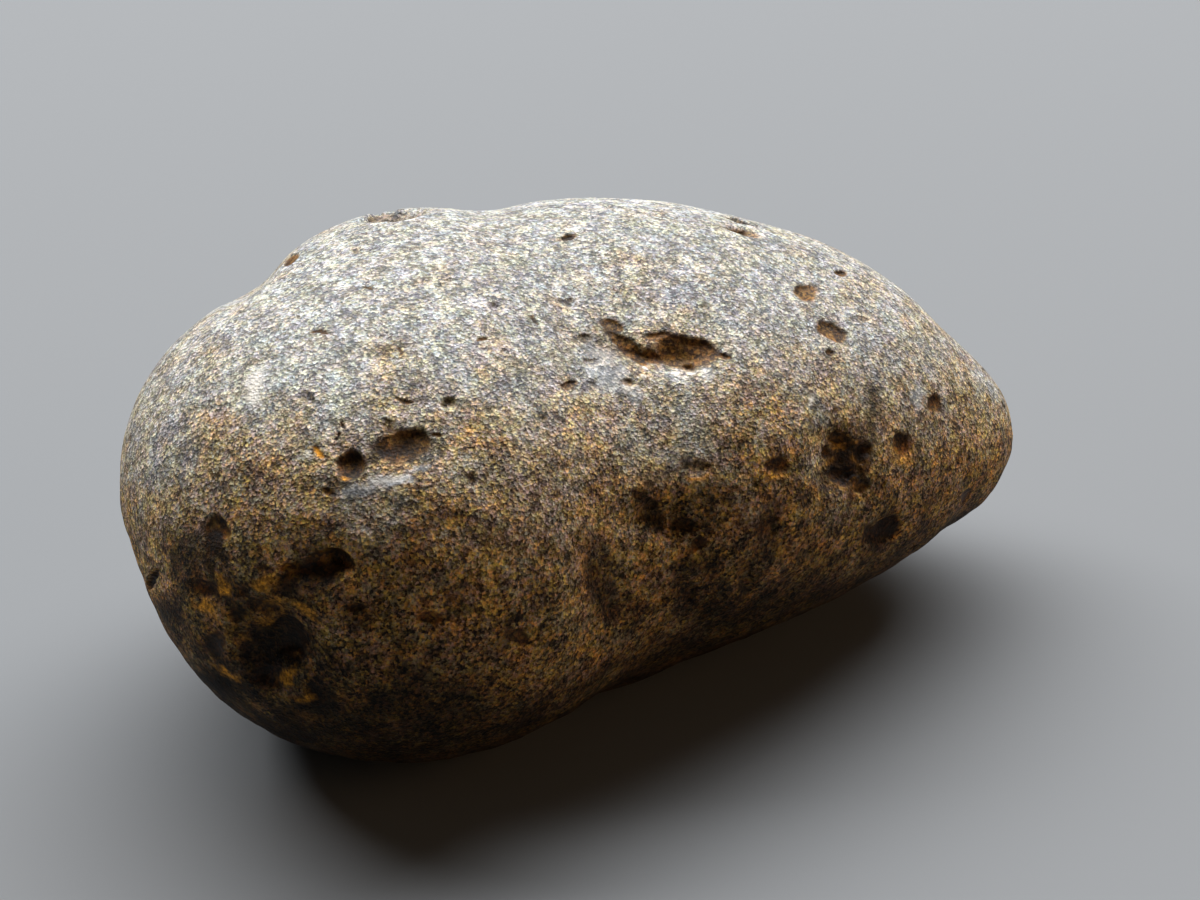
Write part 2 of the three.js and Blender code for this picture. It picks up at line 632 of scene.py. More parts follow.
    def weathered_pits(self) -> list[Pit]:
        """Worn gas pits on the rear, of the same kinds as those on the front.

        Returns:
            The pits, spread evenly over the rear.
        """
        least, spread = 0.7, 2.3
        draw = np.random.default_rng(self.seed + 1).uniform
        pits = []
        for number in range(self.rear_pit_count):
            length = least + spread * draw() ** 2
            width = length * draw(0.45, 0.85)
            scoop = Scoop(
                size=(length, width),
                depth=width * draw(0.2, 0.32),
                apex=(draw(-0.3, 0.3), draw(0.1, 0.5)),
                glass=draw(0.6, 0.95),
                dark=draw(0.75, 1.0),
            )
            place = (f"rear_pit_{number}", (draw(5, 140), draw(-40, 50)), draw(-60, 60))
            pits.append(Pit(*place, (scoop,), draw(0, 12), ragged=0.13, detail=0.6))
        return pits

    def make_finer(self, marks: list[tuple[Pit, Plane]]) -> None:
        """Splits the skin's triangles where the marks need it, and on the painted front.

        Args:
            marks: Each pit with its plane.
        """
        passes, front_edge = 3, 0.36
        ragged_share, beyond, search_share, coarseness = 1.15, 0.1, 1.5, 1.5
        rim_band = 0.12
        for _ in range(passes):
            centres = self.skin.points[self.skin.faces].mean(axis=1)
            edges = self.skin.edge_lengths()
            wanted = (centres[:, 1] < 0) & (edges > front_edge)
            for pit, plane in marks:
                span = (pit.reach() * ragged_share + beyond) * search_share
                near = np.linalg.norm(centres - plane.middle, axis=1) < span
                inside = np.zeros(near.sum(), bool)
                x, y, _ = plane.flat(centres[near])
                for scoop in pit.scoops:
                    share, _ = scoop.share(x, y)
                    inside |= share < 1 + rim_band / min(scoop.size)
                wanted[near] |= inside & (edges[near] > pit.fineness() * coarseness)
            self.skin = self.skin.refined(wanted)
        nearest = [self.tree.find_nearest(Vector(point))[0] for point in self.skin.points]
        self.skin = Skin(np.array(nearest), self.skin.faces)

    def carve(self) -> None:
        """Presses the pits into the skin, roughens it, and paints the finishes, light and shade."""
        least_span, flat_height = 1.2, 0.02
        marks = [
            (pit, self.plane(pit.bearing, pit.heading, max(least_span, pit.reach())))
            for pit in (*self.pits, *self.scattered_scars(), *self.weathered_pits())
        ]
        self.make_finer(marks)
        points = self.skin.points
        normals = self.skin.normals()
        self.paint = {finish: np.zeros(len(points)) for finish in Finish}
        frost = self.frost(normals)
        self.paint[Finish.FROST_AND_LIGHT] = frost

        frosted = (0.0, 0.8)
        relief = layered(points, *self.SWELLS)
        chipped = layered(points, *self.CHIPPING)
        relief += chipped * (self.roughest - smooth_step(*frosted, frost))
        shift = normals * (relief - self.wear_mm)[:, None]
        for pit, plane in marks:
            self.press(pit, plane, shift)
        for etching in self.etchings:
            self.etch(etching, normals, shift)
        self.lay(Finish.SHADE_AND_DARK_GLASS, np.arange(len(points)), self.stains(frost))
        for finish, patches in self.patches.items():
            for patch in patches:
                self.brush(finish, patch)
        moved = points + shift
        resting = points[:, 2] < flat_height
        moved[:, 2] = np.where(resting, points[:, 2], np.maximum(moved[:, 2], 0.0))
        self.skin = Skin(moved, self.skin.faces)

    def frost(self, normals: np.ndarray) -> np.ndarray:
        """How frosted and how pale the skin is: most on top, least low down and on the front.
        The paler top and the darker front and lower side are partly painted light and shade,
        from the lamp above and behind.

        Args:
            normals: The outward direction at each vertex.

        Returns:
            About 1 for fully frosted skin or painted light, 0 for brown skin, and less where
            shade is painted.
        """
        broad, local = 0.7, 0.3
        lee_and_shade_power, windward_power, windward_rise = 4, 6, (-0.3, 0.4)
        lee_and_shade_frost, lee_and_shade_mean, windward_frost = 0.6, 0.3, 0.55
        upper_start, upper_span, most = 0.15, 0.85, 1.1
        facing = unit(broad * self.broad_normals() + local * normals)
        level = np.linalg.norm(facing[:, :2], axis=1)
        lee_and_shade, windward, rear = (
            np.clip(facing @ bearing_direction(azimuth, 0), 0, None)
            for azimuth in (self.lee_and_shade_azimuth, self.windward_azimuth, self.rear_azimuth)
        )
        lee_and_shade = level * (lee_and_shade / np.maximum(level, TINY)) ** lee_and_shade_power
        windward = windward**windward_power * smooth_step(*windward_rise, facing[:, 2])
        # Paler towards the top and darker below: frosting, and partly painted light and shade.
        upper = (facing[:, 2] - upper_start) / upper_span
        # The front, away from the key lamp, is kept darker, partly as painted shade.
        sides = lee_and_shade_frost * (lee_and_shade_mean - lee_and_shade) + windward_frost * windward + self.rear_frost * rear
        return np.minimum(upper + sides + layered(self.skin.points, *self.DRIFTS), most)

    def stains(self, frost: np.ndarray) -> np.ndarray:
        """Dark spots where the frosting is thin and the glass body shows through.

        Args:
            frost: How frosted the skin is at each vertex, with painted light and shade
            in it.

        Returns:
            The strength of the spots, from 0 to 1.
        """
        fine_mm, fine_share = self.stain_mm / 2.3, 0.7
        thin_frost, spot_edge = (0.05, 0.45), (0.02, 0.55)
        layers = ((1, self.stain_mm, 47.0), (fine_share, fine_mm, 53.0))
        spots = layered(self.skin.points, *layers)
        thin = 1 - smooth_step(*thin_frost, frost)
        return self.stain_strength * thin * smooth_step(*spot_edge, spots)

    def press(self, pit: Pit, plane: Plane, shift: np.ndarray) -> None:
        """Presses one pit into the skin and paints the glass that it lays bare, with painted
        shade under its sharp edge and a painted amber glint in its worn lip.

        Args:
            pit: The pit.
            plane: Where it lies.
            shift: How far each vertex moves, which this adds to.
        """
        search_share, blend_power = 1.4, 4
        floor, wall, bead = (0.08, 0.5), (0.1, 0.8), (0.1, 0.7)
        sharp_side, worn_side = (0.1, 0.5), (0.55, 0.95)
        bead_highlight, ring_at, ring_width = 0.9, 0.86, 0.16
        near = self.vertices_near(plane, pit.reach() * search_share)
        points = self.skin.points[near]
        x, y, _ = plane.flat(points)
        uneven = ((pit.ragged, 0.7, 71.0), (0.35 * pit.ragged, 0.25, 83.0))
        total = np.zeros(len(near))
        raised = np.zeros(len(near))
        for scoop in pit.scoops:
            share, worn = scoop.share(*shaken(points, x, y, min(scoop.size), *uneven))
            fall = scoop.fall(share, worn)
            if scoop.depth < 0:
                raised -= scoop.depth * fall
                # A raised bead gets a painted highlight.
                self.lay(Finish.CHALK_AND_HIGHLIGHT, near, bead_highlight * smooth_step(*bead, fall))
                continue
            total += (scoop.depth * fall) ** blend_power
            # Painted shade under the sharp edge; a painted amber glint in the worn lip.
            shaded = smooth_step(*wall, fall) * (1 - smooth_step(*sharp_side, worn))
            ring = np.exp(-(((share - ring_at) / ring_width) ** 2))
            self.lay(Finish.GLASS, near, scoop.glass * smooth_step(*floor, fall))
            self.lay(Finish.SHADE_AND_DARK_GLASS, near, scoop.dark * shaded)
            self.lay(Finish.AMBER_GLINT, near, pit.glint * ring * smooth_step(*worn_side, worn))
        depth = total ** (1 / blend_power) - raised
        shift[near] += plane.inward(pit.lean) * depth[:, None]

    def vertices_near(self, plane: Plane, span: float) -> np.ndarray:
        """The numbers of the vertices that lie within a span, in mm, of a plane's middle."""
        return np.nonzero(np.linalg.norm(self.skin.points - plane.middle, axis=1) < span)[0]

    def lay(self, finish: Finish, near: np.ndarray, values: np.ndarray) -> None:
        """Lays a finish over some vertices, where it is stronger than what is there."""
        self.paint[finish][near] = np.maximum(self.paint[finish][near], values)

    def etch(self, etching: Etching, normals: np.ndarray, shift: np.ndarray) -> None:
        """Etches one area of the skin into small uneven hollows, painted dark as shade, with
        painted amber glints on the lips between them.

        Args:
            etching: The area.
            normals: The outward direction at each vertex.
            shift: How far each vertex moves, which this adds to.
        """
        fine_grain, fine_share, glass_share = etching.grain / 2.2, 0.5, 0.6
        hollow_edge, thin_edge, lip_drop, lip_width = (0.0, 0.32), (0.0, 0.25), 0.06, 0.1
        near, cover = self.cover(etching.patch)
        points = self.skin.points[near]
        rise = layered(points, (1, etching.grain, 23.0), (fine_share, fine_grain, 37.0))
        hollow = cover * smooth_step(*hollow_edge, rise)
        shift[near] -= normals[near] * (etching.depth * hollow)[:, None]
        # The hollows are painted dark as shade.
        self.lay(Finish.SHADE_AND_DARK_GLASS, near, hollow)
        self.lay(Finish.GLASS, near, glass_share * hollow)
        # The lips between the hollows get a painted amber glint.
        lip = np.exp(-(((rise + lip_drop) / lip_width) ** 2)) * cover
        thin = smooth_step(*thin_edge, lumps(points, etching.grain, 43.0))
        self.lay(Finish.AMBER_GLINT, near, etching.amber_glint_share * lip * thin)

    def cover(self, patch: Patch) -> tuple[np.ndarray, np.ndarray]:
        """How strongly a patch covers the skin.

        Args:
            patch: The patch.

        Returns:
            The numbers of the vertices near it, and the patch's strength at each.
        """
        least_span, edge = 1.0, (0.35, 1.05)
        uneven = ((0.35, 0.6, 91.0), (0.25, 0.25, 87.0))
        length, width = patch.size
        plane = self.plane(patch.bearing, patch.heading, max(least_span, length / 2, width / 2))
        near = self.vertices_near(plane, max(length, width))
        points = self.skin.points[near]
        x, y, _ = plane.flat(points)
        x, y = shaken(points, x, y, min(length, width), *uneven)
        share = np.hypot(x * 2 / length, y * 2 / width)
        return near, patch.strength * (1 - smooth_step(*edge, share))

    def brush(self, finish: Finish, patch: Patch) -> None:
        """Paints one patch on the skin. Frosting patches add to the frosting and painted light there.

        Args:
            finish: Which finish.
            patch: Its place, size and strength.
        """
        near, strength = self.cover(patch)
        if finish is Finish.FROST_AND_LIGHT:
            self.paint[finish][near] += strength
        else:
            self.lay(finish, near, strength)

    def build(self, name: str) -> bpy.types.Object:
        """Makes the stone's mesh object.

        Args:
            name: The object's name.

        Returns:
            The object, in metres, with one mesh attribute for each finish.
        """
        self.carve()
        mesh = bpy.data.meshes.new(name)
        points, faces = self.skin.points * MM, self.skin.faces
        mesh.vertices.add(len(points))
        mesh.vertices.foreach_set("co", points.astype(np.float32).ravel())
        mesh.loops.add(faces.size)
        mesh.loops.foreach_set("vertex_index", faces.astype(np.int32).ravel())
        mesh.polygons.add(len(faces))
        mesh.polygons.foreach_set("loop_start", np.arange(0, faces.size, 3, dtype=np.int32))
        mesh.polygons.foreach_set("use_smooth", np.ones(len(faces), bool))
        mesh.update(calc_edges=True)
        mesh.validate()
        for finish, values in self.paint.items():
            layer = mesh.attributes.new(finish.value, "FLOAT", "POINT")
            layer.data.foreach_set("value", values.astype(np.float32))
        LOG.info("%s: %d triangles", name, len(faces))
        return in_scene(name, mesh)


# ---- Finishes ------------------------------------------------------------------------

# A Mix node's sockets, by number because their names repeat.
SHARE, VALUE_A, VALUE_B, COLOUR_A, COLOUR_B, COLOUR_OUT = 0, 2, 3, 6, 7, 2


@dataclass
class NodeSheet:
    """A material's node sheet.

    Attributes:
        tree: The node tree that the nodes are added to.
    """

    tree: bpy.types.NodeTree

    def add(
        self, kind: str, inputs: dict, settings: dict | None = None, output: int | str = 0
    ) -> Socket:
        """Adds a node.

        Args:
            kind: The node's type name, without its "ShaderNode" start.
            inputs: For each input, by name or number, its value or the socket linked to it.
            settings: Values of the node's own properties.
            output: The output that is given back.

        Returns:
            The chosen output.
        """
        node = self.tree.nodes.new("ShaderNode" + kind)
        for key, value in (settings or {}).items():
            setattr(node, key, value)
        for key, value in inputs.items():
            if isinstance(value, Socket):
                self.tree.links.new(value, node.inputs[key])
            else:
                node.inputs[key].default_value = value
        return node.outputs[output] if node.outputs else None


@dataclass(frozen=True)
class Speckle:
    """The two sRGB colours that a finish's grain runs between."""

    dark: str
    pale: str


@dataclass(frozen=True)
class Grain:
    """One kind of grain: soft mottling mixed with crisp chips.

    Attributes:
        mottle_mm: The width of the mottling's largest spots.
        mottle_cut: How much of the mottling's range is cut off at each end.
        chip_share: The share of the chips in the mix.
        mix_cut: How much of the mix's range is cut off at each end.
        contrast: The power that the mix is raised to, which darkens it.
    """

    mottle_mm: float
    mottle_cut: float
    chip_share: float
    mix_cut: float
    contrast: float = 1.0


@dataclass(frozen=True)
class FrostedGlass:
    """Natural impact glass, frosted by stream sand.

    The sand has chipped the skin all over, so it scatters light like ground glass: a fine
    grain of pale, grey and dark specks over a dark brown body, paler on the upper side,
    partly as painted light from above. The pits keep a smoother skin: brown glass with a
    soft shine, painted shade under their edges, and painted amber glints where it is thin.
    """

    # The top's pale colours are partly painted light from the lamp above and behind.
    top: Speckle = Speckle("#666a6f", "#e7f0f6")
    tan: Speckle = Speckle("#463b2f", "#fcf1dc")
    side: Speckle = Speckle("#19130c", "#fde1b6")
    pit: Speckle = Speckle("#35220c", "#a67c36")
    # Partly a painted sky reflection on the polished lips.
    polish_and_reflection: Speckle = Speckle("#969ca2", "#eceff2")
    smoky_golden: Speckle = Speckle("#c8c5d8", "#ffdf8c")
    olive_rosy: Speckle = Speckle("#ecf7da", "#ffdfd6")
    # Painted shade: low down on the stone, and in pits and hollows (also for dark stains).
    painted_under_shade: str = "#585040"
    pit_shadow: str = "#50442a"
    # Painted glints, as of light shining through thin glass.
    amber: str = "#f2a52c"
    # Chalk marks, and the painted highlights on raised beads.
    chalk: str = "#e6dfd2"
    tone: Grain = Grain(0.8, 0.4, 0.52, 0.12, 1.7)
    hue: Grain = Grain(1.1, 0.41, 0.5, 0.25)
    # Sand knocks flakes of 0.02 to 0.1 mm off glass. Most of those are too fine to show, so
    # the chips are drawn as wide as they need to be, and the roughness between them too.
    chip_mm: float = 0.115
    relief_mm: float = 0.14
    rise_mm: float = 0.1
    # Each pair is for frosted skin and for bare or polished glass.
    rough: tuple[float, float] = (0.72, 0.55)
    rise: tuple[float, float] = (1.0, 0.3)
    # The water has polished the lips of pits, which have a thin, slightly glossy coat;
    # their pale bluish colour is partly a painted sky reflection.
    coat: float = 0.5
    coat_roughness: float = 0.3
    refraction: float = 1.5
    specular: float = 0.16

    def build(self) -> bpy.types.Material:
        """Makes the material.

        Returns:
            The material.
        """
        material = bpy.data.materials.new("stream_frosted_impact_glass")
        material.use_nodes = True
        material.node_tree.nodes.clear()
        sheet = NodeSheet(material.node_tree)
        place = sheet.add("TexCoord", {}, output="Object")
        paint = {
            finish: sheet.add("Attribute", {}, {"attribute_name": finish.value}, "Fac")
            for finish in Finish
        }
        grain = self.grain(sheet, place)
        both = {0: paint[Finish.GLASS], 1: paint[Finish.POLISH_AND_REFLECTION]}
        smooth = sheet.add("Math", both, {"operation": "MAXIMUM"})
        rough, rise = (
            sheet.add("MapRange", {"Value": smooth, "To Min": frosted, "To Max": bare})
            for frosted, bare in (self.rough, self.rise)
        )
        height = {"Height": grain["height"], "Distance": self.rise_mm * MM, "Strength": rise}
        surface = {
            "Base Color": self.colour(sheet, grain, paint),
            "Roughness": rough,
            "Normal": sheet.add("Bump", height),
            "IOR": self.refraction,
            "Specular IOR Level": self.specular,
            "Coat Weight": sheet.add(
                "MapRange", {"Value": paint[Finish.POLISH_AND_REFLECTION], "To Max": self.coat}
            ),
            "Coat Roughness": self.coat_roughness,
        }
        shader = sheet.add("BsdfPrincipled", surface)
        sheet.add("OutputMaterial", {"Surface": shader})
        return material

    def grain(self, sheet: NodeSheet, place: Socket) -> dict[str, Socket]:
        """The grain of the frosted skin: soft mottling with a small crisp chip over it.

        Args:
            sheet: The material's node sheet.
            place: Where on the stone.

        Returns:
            The "tone", 0 for dark and 1 for pale, how "golden" and how "rosy" each grain
            is, and the "height" of the skin.
        """
        jitter_size = {"Scale": 1 / (self.relief_mm * MM), "Detail": 2, "Roughness": 0.8}
        jitter = sheet.add("TexNoise", {"Vector": place, **jitter_size}, output="Color")
        reach = (self.relief_mm * MM,) * 3
        moved = {0: jitter, 1: reach, 2: place}
        shaken_place = sheet.add("VectorMath", moved, {"operation": "MULTIPLY_ADD"})
        chip_size = {"Scale": 1 / (self.chip_mm * MM)}
        chip = sheet.add("TexVoronoi", {"Vector": shaken_place, **chip_size}, output="Color")
        chips = sheet.add("SeparateColor", {"Color": chip}).node.outputs
        made = {}
        kinds = {"tone": self.tone, "golden": self.hue, "rosy": self.hue}
        for number, (name, kind) in enumerate(kinds.items()):
            mottle_size = {"Scale": 1 / (kind.mottle_mm * MM), "Detail": 5, "Roughness": 1}
            mottle = sheet.add("TexNoise", {"Vector": place, **mottle_size}, output="Color")
            part = sheet.add("SeparateColor", {"Color": mottle}).node.outputs[number]
            ends = {"From Min": kind.mottle_cut, "From Max": 1 - kind.mottle_cut}
            soft = sheet.add("MapRange", {"Value": part, **ends})
            mixed = {SHARE: kind.chip_share, VALUE_A: soft, VALUE_B: chips[number]}
            ends = {"From Min": kind.mix_cut, "From Max": 1 - kind.mix_cut}
            spread = sheet.add("MapRange", {"Value": sheet.add("Mix", mixed), **ends})
            power = {0: spread, 1: kind.contrast}
            made[name] = sheet.add("Math", power, {"operation": "POWER"})
        edges = chip.node.outputs["Distance"]
        made["height"] = sheet.add("Mix", {SHARE: 0.5, VALUE_A: jitter, VALUE_B: edges})
        return made

    def colour(
        self, sheet: NodeSheet, grain: dict[str, Socket], paint: dict[Finish, Socket]
    ) -> Socket:
        """The colour of the skin, with each painted finish, light or shade laid over the last.

        Args:
            sheet: The material's node sheet.
            grain: The grain of the skin.
            paint: The strength of each finish.

        Returns:
            The colour.
        """
        speckled = {}
        hues = {self.smoky_golden: "golden", self.olive_rosy: "rosy"}
        for speckle in (self.side, self.tan, self.top, self.pit, self.polish_and_reflection, *hues):
            mixed = {SHARE: grain[hues.get(speckle, "tone")]}
            mixed |= {COLOUR_A: linear(speckle.dark), COLOUR_B: linear(speckle.pale)}
            speckled[speckle] = sheet.add("Mix", mixed, {"data_type": "RGBA"}, COLOUR_OUT)
        # Zones of frosting: the pale top is partly painted light, the lowest part painted shade.
        is_tan, is_top, is_painted_under_shade, is_tinted = (
            sheet.add("MapRange", {"Value": paint[Finish.FROST_AND_LIGHT], **frosts})
            for frosts in (
                {"From Min": -0.15, "From Max": 0.5},
                {"From Min": 0.5, "From Max": 1.1},
                {"From Min": -0.1, "From Max": -0.8, "To Max": 0.9},
                {"From Min": 0.2, "From Max": 1.0, "To Min": 1.0, "To Max": 0.45},
            )
        )
        broken = sheet.add("MapRange", {"Value": grain["tone"], "To Min": 0.25, "To Max": 1.3})
        lit = {0: paint[Finish.AMBER_GLINT], 1: broken}
        painted_glint = sheet.add("Math", lit, {"operation": "MULTIPLY", "use_clamp": True})
        skin = speckled[self.side]
        for share, over, blend in (
            (is_tan, speckled[self.tan], "MIX"),
            (is_top, speckled[self.top], "MIX"),
            (paint[Finish.GLASS], speckled[self.pit], "MIX"),
            (is_tinted, speckled[self.smoky_golden], "MULTIPLY"),
            (is_tinted, speckled[self.olive_rosy], "MULTIPLY"),
            # Painted shade on the lowest skin.
            (is_painted_under_shade, linear(self.painted_under_shade), "MULTIPLY"),
            # Polished lips, their pale bluish colour partly a painted sky reflection.
            (paint[Finish.POLISH_AND_REFLECTION], speckled[self.polish_and_reflection], "MIX"),
            (paint[Finish.SHADE_AND_DARK_GLASS], linear(self.pit_shadow), "MULTIPLY"),
            # Chalk marks, and painted highlights on beads.
            (paint[Finish.CHALK_AND_HIGHLIGHT], linear(self.chalk), "MIX"),
            # Painted amber glints, as of light through thin glass.
            (painted_glint, linear(self.amber), "MIX"),
        ):
            settings = {"data_type": "RGBA", "blend_type": blend}
            mixed = {SHARE: share, COLOUR_A: skin, COLOUR_B: over}
            skin = sheet.add("Mix", mixed, settings, COLOUR_OUT)
        return skin


@dataclass(frozen=True)
class PaintedBoard:
    """A studio board sprayed with flat pale paint: even, with no gloss."""

    colour: str = "#77797a"
    roughness: float = 0.85
    specular: float = 0.2

    def build(self) -> bpy.types.Material:
        """Makes the material.

        Returns:
            The material.
        """
        material = bpy.data.materials.new("flat_painted_board")
        material.use_nodes = True
        shader = material.node_tree.nodes["Principled BSDF"]
        shader.inputs["Base Color"].default_value = linear(self.colour)
        shader.inputs["Roughness"].default_value = self.roughness
        shader.inputs["Specular IOR Level"].default_value = self.specular
        return material


# ---- The studio ----------------------------------------------------------------------


@dataclass(frozen=True)
class Lamp:
    """A soft box.

    Attributes:
        name: The lamp's name.
        azimuth: Where it stands, in degrees from +X towards +Y.
        elevation: Its height, in degrees above the horizontal.
        distance: From the stone's middle, in stone lengths.
        size: Its width and height, in stone lengths.
        power: In watts.
        colour: The light's colour.
    """

    name: str
    azimuth: float
    elevation: float
    distance: float
    size: tuple[float, float]
    power: float
    colour: str


@dataclass
class Studio:
    """The floor, the soft boxes and the camera around the stone.

    Attributes:
        low: Lowest corner of the stone's box, in metres.
        high: Highest corner of the stone's box, in metres.
        floor_lengths: The floor's radius, in stone lengths.
        camera_azimuth: Where the camera stands, in degrees from +X towards +Y.
        camera_elevation: Its height, in degrees above the horizontal.
        camera_distance: From the aim, in metres.
        camera_lens: Focal length, in mm.
        camera_near: The nearest thing that it shows, in metres.
        aim_mm: The aim, from the stone's middle.
        surround: The colour of the dim even light around the stone.
        surround_strength: How strong that light is.
        lamps: The soft boxes.
        middle: The middle of the stone's box, in metres.
        length: The stone's length, in metres.
    """

    low: Vector
    high: Vector
    floor_lengths: float = 40.0
    camera_azimuth: float = -112.0
    camera_elevation: float = 30.0
    camera_distance: float = 0.118
    camera_lens: float = 85.0
    camera_near: float = 0.005
    aim_mm: tuple[float, float, float] = (0.6, 0.1, -0.7)
    surround: str = "#a8a6a2"
    surround_strength: float = 0.095
    lamps: tuple[Lamp, ...] = (
        Lamp("key_soft_box", 75, 57, 15.0, (30.0, 8.0), 13.8, "#fbfcff"),
        Lamp("warm_fill", -40, 20, 12.0, (8.0, 8.0), 0.3, "#ffcf9a"),
    )
    middle: Vector = field(init=False)
    length: float = field(init=False)

    def __post_init__(self) -> None:
        """Finds the stone's middle and length."""
        self.middle = (self.low + self.high) / 2
        self.length = self.high.x - self.low.x

    def build_floor(self) -> bpy.types.Object:
        """Makes the floor that the stone lies on.

        Returns:
            The floor, a flat round board.
        """
        rim_points = 96
        radius = self.floor_lengths * self.length
        turns = [2 * math.pi * k / rim_points for k in range(rim_points)]
        rim = [
            (self.middle.x + radius * math.cos(t), self.middle.y + radius * math.sin(t), self.low.z)
            for t in turns
        ]
        mesh = bpy.data.meshes.new("studio_floor")
        mesh.from_pydata(rim, [], [tuple(range(rim_points))])
        mesh.materials.append(PaintedBoard().build())
        return in_scene("studio_floor", mesh)

    def build_lamps(self) -> None:
        """Makes the soft boxes and the dim even light around them."""
        for lamp in self.lamps:
            light = bpy.data.lights.new(lamp.name, "AREA")
            light.shape = "RECTANGLE"
            light.size = lamp.size[0] * self.length
            light.size_y = lamp.size[1] * self.length
            light.energy = lamp.power
            light.color = linear(lamp.colour)[:3]
            soft_box = in_scene(lamp.name, light)
            towards = Vector(bearing_direction(lamp.azimuth, lamp.elevation))
            soft_box.location = self.middle + towards * lamp.distance * self.length
            soft_box.rotation_euler = (-towards).to_track_quat("-Z", "Y").to_euler()
            LOG.info("%s: %.1f W", lamp.name, lamp.power)
        world = bpy.data.worlds.new("studio_surround")
        world.use_nodes = True
        background = world.node_tree.nodes["Background"]
        background.inputs["Color"].default_value = linear(self.surround)
        background.inputs["Strength"].default_value = self.surround_strength
        bpy.context.scene.world = world

    def build_camera(self) -> bpy.types.Object:
        """Makes the camera: low over the front of the stone, with the heel nearer.

        Returns:
            The camera.
        """
        data = bpy.data.cameras.new("specimen_camera")
        data.lens = self.camera_lens
        data.clip_start = self.camera_near
        back = Vector(bearing_direction(self.camera_azimuth, self.camera_elevation))
        aim = self.middle + Vector(self.aim_mm) * MM
        camera = in_scene("specimen_camera", data)
        camera.location = aim + back * self.camera_distance
        camera.rotation_euler = (-back).to_track_quat("-Z", "Y").to_euler()
        bpy.context.scene.camera = camera
        return camera


# ---- The marks of this stone ---------------------------------------------------------

# The apex of a pit that is deepest under its upper edge.
UPPER_EDGE = (0.1, 0.45)
# How far a slit's ends curve aside.
SLIT_BEND = 0.35

